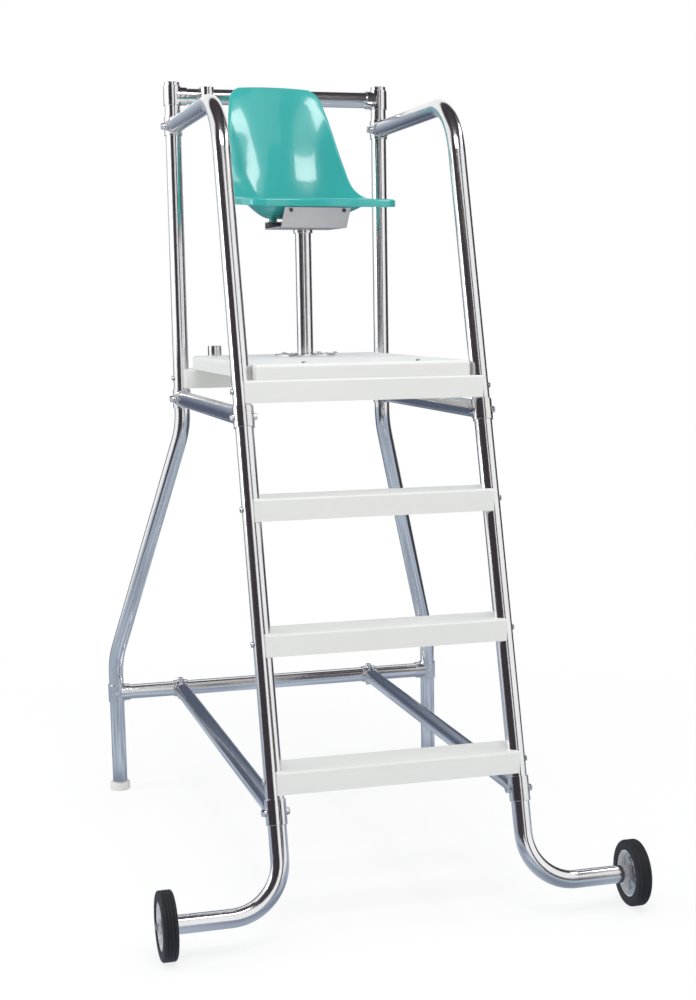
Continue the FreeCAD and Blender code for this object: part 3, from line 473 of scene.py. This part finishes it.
gel = Finish("turquoise_gel_coat", (0.040, 0.42, 0.39), 0.2, Coat_Weight=0.6, Coat_Roughness=0.06)
gel.tint(gel.noise(6.0), (0.032, 0.37, 0.35))
gel.roughen(gel.noise(500.0) * 0.08)
gel.bump(gel.noise(28.0, 1.0), strength=0.05, height=0.001)

face = shell_face()
underside = BVHTree.FromBMesh(face)
shell = walled(face)
face.free()
for side in (-1, 1):
    add_lug(shell, underside, Vector((side * LUG_ACROSS, *FRONT_LUG)), FRONT_LUG_LEAN)
    add_lug(shell, underside, Vector((side * LUG_ACROSS, *REAR_LUG)), REAR_LUG_LEAN)
piece("moulded_seat_shell", shell, seat_place, gel, "seat", "seat_gloss", "seat_shell")


# Seat bracket: one pressed steel sheet, bent to the slope of the pan, with a
# grey satin finish. It is bolted to the shell's lugs and fixed on the spindle.
satin = Finish("grey_satin_steel", (0.60, 0.58, 0.60), 0.3, Metallic=0.6)
satin_grain = satin.noise(300.0)
satin.tint(satin.noise(14.0), (0.50, 0.485, 0.50))
satin.roughen(satin_grain * 0.15)
satin.bump(satin_grain, strength=0.1, height=0.0003)
dress(satin, "seat_bracket")


# Seat bolts: steel with a black oxide finish, the only dark bolts on the
# chair. They go through the bracket into the shell's lugs.
dress(steel("black_oxide_bolts", (0.10, 0.10, 0.11), 0.33, smear=0.1), "seat_bolts")


# Wheels: cast metal rims with windows between the spokes and a bright turned
# flange, pale plastic bushes that run on the axle bolts, and black rubber
# tyres with grooves moulded round the tread.
FLANGE_INNER_RADIUS = 0.0565
WEB_METALLIC, FLANGE_METALLIC = 0.9, 0.3
FLANGE_POLISH = 0.16

rim = Finish("cast_rim_metal", (0.66, 0.66, 0.67), 0.44)
axle = joint_place("left_wheel_spin")
from_axle = rim.node("VectorMath", {"operation": "SUBTRACT"}, rim.place, axle)["Vector"]
in_wheel = rim.node("VectorMath", {"operation": "MULTIPLY"}, from_axle, (0.0, 1.0, 1.0))["Vector"]
radius = rim.node("VectorMath", {"operation": "LENGTH"}, in_wheel)["Value"]
flange = radius.above(FLANGE_INNER_RADIUS)
sand = rim.noise(420.0, 3.0)
web_tone = rim.mix(rim.noise(40.0), rim.colour, (0.50, 0.50, 0.52))
rim.feed("Base Color", rim.mix(flange, web_tone, (0.88, 0.89, 0.90)))
rim.feed("Metallic", WEB_METALLIC - flange * (WEB_METALLIC - FLANGE_METALLIC))
rim.roughen(sand * 0.08 - flange * FLANGE_POLISH)
rim.bump(sand * (1 - flange), strength=0.3, height=0.0005)
dress(rim, *pair("wheel_rim"))

bearing = Finish("bearing_plastic", (0.75, 0.74, 0.70), 0.45)
bearing.bump(bearing.noise(600.0), strength=0.1, height=0.0003)
dress(bearing, *pair("wheel_bush"))

rubber = Finish("black_rubber", (0.009, 0.009, 0.013), 0.45, Specular_IOR_Level=0.4)
dust = rubber.noise(60.0, 4.0)
rubber.tint(dust, (0.022, 0.022, 0.028))
rubber.roughen(dust * 0.2)
rubber.bump(rubber.noise(700.0), strength=0.2, height=0.0004)
dress(rubber, *pair("tyre"))


# Floor and background: pale paper that keeps the chair's shadow. Its white
# grows with the distance until it meets the white background, which rays from
# the camera and in reflections see, while a softer fill lights the chair.
WHITE = (1, 1, 1)
FILL, FILL_STRENGTH = (0.97, 0.98, 1.0), 0.76
FLOOR_SIZE = 60
PAPER_REACH, WHITE_REACH = 0.9, 3.2
WHITE_NEAR, WHITE_FAR = 0.8, 1.0


def seen(nodes):
    """1 for the rays that show the background and 0 for those that light."""
    rays = nodes.node("LightPath", {})
    return rays["Is Camera Ray"].either(rays["Is Glossy Ray"]).either(rays["Is Transmission Ray"])


def plane(name, centre, across, up, width, height, material):
    """A flat sheet of the studio."""
    across, up = Vector(across).normalized(), Vector(up).normalized()
    corners = [Vector(centre) + across * x * width / 2 + up * y * height / 2
               for x, y in ((-1, -1), (1, -1), (1, 1), (-1, 1))]
    mesh = bpy.data.meshes.new(name)
    mesh.from_pydata(corners, [], [(0, 1, 2, 3)])
    mesh.materials.append(material)
    thing = bpy.data.objects.new(name, mesh)
    bpy.context.scene.collection.objects.link(thing)
    return thing


paper = Finish("pale_floor", (0.93, 0.93, 0.93), 0.9, Specular_IOR_Level=0.0)
distance = paper.node("VectorMath", {"operation": "LENGTH"}, paper.place)["Value"]
whiter = paper.node("MapRange", {"interpolation_type": "SMOOTHSTEP"}, Value=distance,
                    From_Min=PAPER_REACH, From_Max=WHITE_REACH, To_Min=WHITE_NEAR, To_Max=WHITE_FAR)["Result"]
glow = paper.node("Emission", {}, Color=WHITE)["Emission"]
surface = Value(paper, paper.shader.outputs["BSDF"])
blend = paper.node("MixShader", {}, whiter * seen(paper), surface, glow)["Shader"]
paper.fill(paper.tree.nodes["Material Output"].inputs["Surface"], blend)
plane("floor", (0, 0, 0), (1, 0, 0), (0, 1, 0), FLOOR_SIZE, FLOOR_SIZE, paper.material)

studio = bpy.data.worlds.new("studio")
bpy.context.scene.world = studio
studio.use_nodes = True
studio.node_tree.nodes.clear()
sky = Nodes(studio.node_tree)
fill = sky.node("Background", {}, Color=FILL, Strength=FILL_STRENGTH)["Background"]
backdrop = sky.node("Background", {}, Color=WHITE, Strength=1.0)["Background"]
sky.node("OutputWorld", {}, Surface=sky.node("MixShader", {}, seen(sky), fill, backdrop)["Shader"])


# Lamps: soft boxes, rectangles of light. The key and side lamps stand where
# the seat's gloss mirrors them as its two highlights.
def lamp(name, place, target, size, watts):
    """A soft box at a place, turned to its target."""
    data = bpy.data.lights.new(name, "AREA")
    data.shape = "RECTANGLE"
    data.size, data.size_y = size
    data.energy = watts
    thing = bpy.data.objects.new(name, data)
    bpy.context.scene.collection.objects.link(thing)
    thing.location = place
    thing.rotation_mode = "QUATERNION"
    thing.rotation_quaternion = (Vector(target) - Vector(place)).to_track_quat("-Z", "Y")


lamp("key_lamp", (-0.31, -2.13, 4.45), target=(0.0, 0.2, 1.9), size=(1.8, 0.75), watts=44)
lamp("side_lamp", (2.16, -0.12, 3.46), target=(-0.1, 0.2, 1.9), size=(1.2, 0.4), watts=12)
lamp("left_lamp", (-4.5, 0.5, 2.5), target=(0, 0, 1.2), size=(2.0, 2.0), watts=60)
lamp("top_lamp", (0, -0.5, 5.2), target=(0, 0, 0), size=(3.0, 3.0), watts=30)


# Cards: flat boards that only reflections show. The dark ones at the sides, in
# front and overhead draw the dark lines in the tubes, a white one breaks the
# line on the left, and the slate ones, behind the chair and on the floor, grey
# the lower tubes and the undersides.
CARD_FOOT = 0.01
FLOOR_CARD_HEIGHT = 0.004
PATCH_SCALE, PATCH_START, PATCH_EDGE = 1.9, 0.36, 3.6
SLOPE_START, SLOPE_RISE = 1.3, 1.5


def board(name, colour):
    """A flat tone that glows by itself."""
    return Finish(name, (0, 0, 0), 1.0, Specular_IOR_Level=0.0, Emission_Color=colour, Emission_Strength=1.0)


def patched_board(name, colour, other):
    """A tone with soft patches of another."""
    paint = board(name, colour)
    patch = ((paint.noise(PATCH_SCALE, 1.0) - PATCH_START) * PATCH_EDGE).clipped()
    paint.feed("Emission Color", paint.mix(patch, colour, other))
    return paint


def sloping_board(name, colour, other):
    """A tone that runs upwards into another."""
    paint = board(name, colour)
    height = paint.node("SeparateXYZ", {}, paint.place)["Z"]
    risen = ((height - SLOPE_START) * (1 / SLOPE_RISE)).clipped()
    paint.feed("Emission Color", paint.mix(risen, colour, other))
    return paint


def card(name, centre, across, up, width, height, paint):
    """A card that neither the camera nor the light sees."""
    thing = plane(name, centre, across, up, width, height, paint.material)
    thing.visible_camera = False
    thing.visible_diffuse = False
    thing.visible_shadow = False
    thing.visible_transmission = False


def wall(name, start, end, low, high, paint):
    """An upright card that stands over a line on the floor."""
    start, end = Vector((*start, 0)), Vector((*end, 0))
    middle = (start + end) / 2 + Vector((0, 0, (low + high) / 2))
    card(name, middle, end - start, (0, 0, 1), (end - start).length, high - low, paint)


dark = board("dark_card", (0.045, 0.038, 0.046))
bright = board("white_card", WHITE)
slate = patched_board("slate_card", (0.24, 0.285, 0.36), (0.55, 0.63, 0.73))
sloping_slate = sloping_board("sloping_slate_card", (0.09, 0.11, 0.16), (0.50, 0.57, 0.66))

wall("front_left_card", (-1.0, -3.4), (-2.2, -2.4), CARD_FOOT, 5.0, dark)
wall("left_card", (-2.2, -2.4), (-2.4, -0.2), CARD_FOOT, 5.0, dark)
wall("white_strip", (-1.0, 0.1), (-1.0, 0.45), 1.45, 2.5, bright)
wall("middle_card", (-0.05, -0.9), (0.3, -1.6), 0.3, 2.7, dark)
wall("front_card", (1.2, -5.6), (2.6, -5.3), CARD_FOOT, 6.0, dark)
wall("right_card", (2.6, -0.4), (2.2, 2.0), CARD_FOOT, 4.4, dark)
wall("back_card", (-2.6, 3.2), (2.6, 3.2), CARD_FOOT, 2.9, sloping_slate)
card("floor_card", (0, 6.0, FLOOR_CARD_HEIGHT), (1, 0, 0), (0, 1, 0), 24.0, 24.0, slate)
card("top_card", (0, -0.6, 4.6), (1, 0, 0), (0, 1, 0), 5.0, 6.0, dark)


# Camera: at the photograph's viewing angle. Its place, turn and focal length
# were fitted to the photograph, whose optical centre is off the middle.
CAMERA_PLACE = (-1.19265, -4.67825, 1.60064)
YAW, PITCH, ROLL = 0.2816, -0.1627, -0.0128
PIXELS_HIGH, PIXELS_WIDE = 1000, 696
FOCAL_PIXELS = 1663.6
CENTRE_X, CENTRE_Y = 384.3, 578.8
SENSOR = 36

ahead = Vector((math.sin(YAW) * math.cos(PITCH), math.cos(YAW) * math.cos(PITCH), math.sin(PITCH)))
level = Vector((math.cos(YAW), -math.sin(YAW), 0))
upward = level.cross(ahead)
right = math.cos(ROLL) * level + math.sin(ROLL) * upward
top = -math.sin(ROLL) * level + math.cos(ROLL) * upward
turn = Matrix((right, top, -ahead)).transposed()

camera_data = bpy.data.cameras.new("camera")
camera_data.sensor_fit = "AUTO"
camera_data.sensor_width = SENSOR
camera_data.lens = FOCAL_PIXELS * SENSOR / PIXELS_HIGH
camera_data.shift_x = (PIXELS_WIDE / 2 - CENTRE_X) / PIXELS_HIGH
camera_data.shift_y = (CENTRE_Y - PIXELS_HIGH / 2) / PIXELS_HIGH
camera = bpy.data.objects.new("camera", camera_data)
bpy.context.scene.collection.objects.link(camera)
camera.matrix_world = Matrix.Translation(CAMERA_PLACE) @ turn.to_4x4()
bpy.context.scene.camera = camera
bpy.context.scene.view_settings.view_transform = "Standard"
